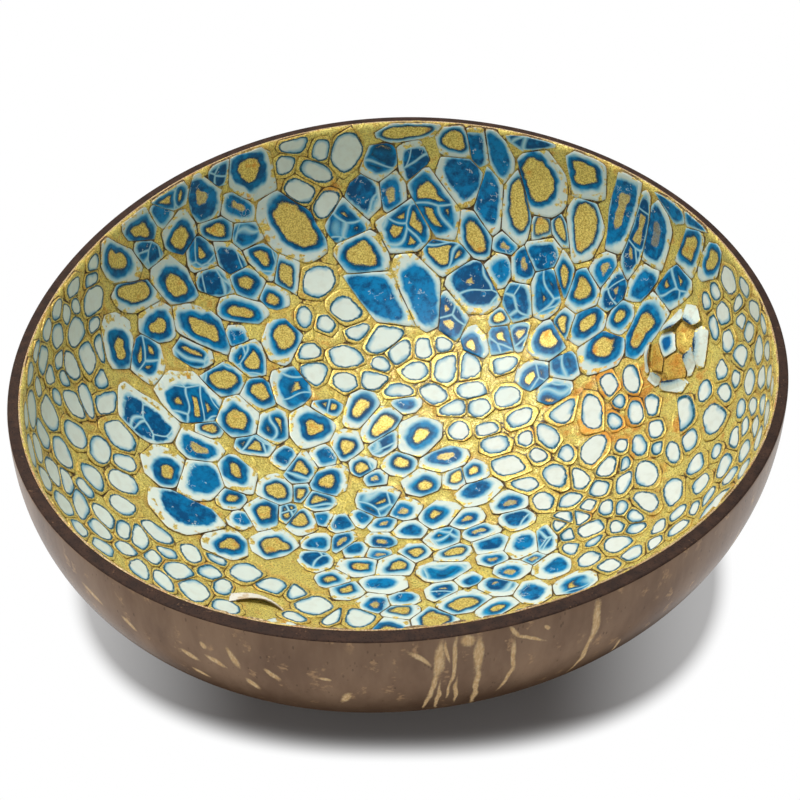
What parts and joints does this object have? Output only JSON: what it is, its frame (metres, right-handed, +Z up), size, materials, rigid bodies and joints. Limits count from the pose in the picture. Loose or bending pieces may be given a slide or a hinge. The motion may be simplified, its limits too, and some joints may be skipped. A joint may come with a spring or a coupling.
{
  "type": "bowl",
  "caption": "Half coconut shell bowl with a sawn rim and a flat foot, lined with gold lacquer and inlaid with a mosaic of broken blue and white eggshell under a clear coat.",
  "frame": {"origin": "middle of the flat sanded foot, on the surface that the bowl stands on", "axes": "+Z up out of the bowl, +Y away from the usual view, +X to its right"},
  "size_m": [0.1367, 0.1399, 0.048],
  "materials": {
    "polished_shell": "polished dark brown with pale fibre flecks",
    "gold_lacquer": "metallic gold flake under a clear gloss coat",
    "ringed_eggshell": "white margin, blue ring and gold middle under a clear gloss coat",
    "blue_eggshell": "deep blue with a white margin under a clear gloss coat",
    "white_eggshell": "off-white with a thin blue edge under a clear gloss coat"
  },
  "bodies": {
    "root": {"coconut_shell": "polished_shell", "gold_lining": "gold_lacquer", "ringed_shards_back_left": "ringed_eggshell", "ringed_shards_floor_left": "ringed_eggshell", "ringed_shards_floor_front": "ringed_eggshell", "ringed_shards_back": "ringed_eggshell", "ringed_shards_back_right": "ringed_eggshell", "ringed_shards_front_wall": "ringed_eggshell", "solid_blue_shards_back_left": "blue_eggshell", "solid_blue_shards_floor_left": "blue_eggshell", "solid_blue_shards_floor_front": "blue_eggshell", "solid_blue_shards_back": "blue_eggshell", "solid_blue_shards_back_right": "blue_eggshell", "solid_blue_shards_front_wall": "blue_eggshell", "white_shards_left_wall": "white_eggshell", "white_shards_back": "white_eggshell", "white_shards_centre": "white_eggshell", "white_shards_right_wall": "white_eggshell", "white_shards_front_wall": "white_eggshell", "eye_bump": "gold_lacquer", "eye_cap_shards": "white_eggshell", "eye_petal_shards": "white_eggshell", "curled_shard": "white_eggshell"}
  },
  "joints": []
}
